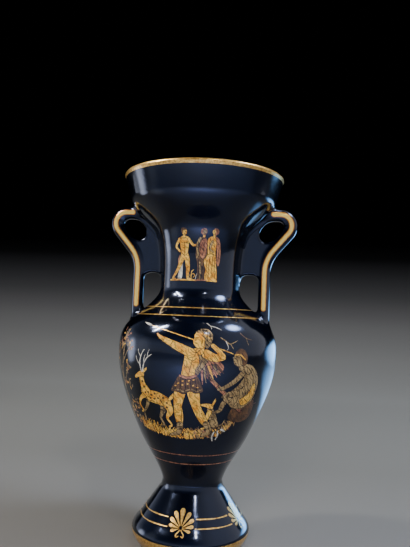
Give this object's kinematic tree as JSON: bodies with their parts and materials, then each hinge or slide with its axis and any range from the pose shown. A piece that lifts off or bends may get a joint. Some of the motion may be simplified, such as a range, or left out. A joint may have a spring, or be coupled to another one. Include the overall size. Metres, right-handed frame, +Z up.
{
  "type": "baluster vase",
  "caption": "Two-handled baluster vase on a spreading foot, hollow and open at the mouth, with pierced scroll handles and gilt figures on a black gloss glaze.",
  "frame": {"origin": "centre of the underside, on the surface that the vase stands on", "axes": "+Z up along the vase's axis, the handles along X, the main picture facing -Y"},
  "size_m": [0.1592, 0.1344, 0.3],
  "materials": {
    "black_glaze": "near-black gloss glaze on earthenware, with gilt and tan decoration"
  },
  "bodies": {
    "root": {"vase": "black_glaze"}
  },
  "joints": []
}
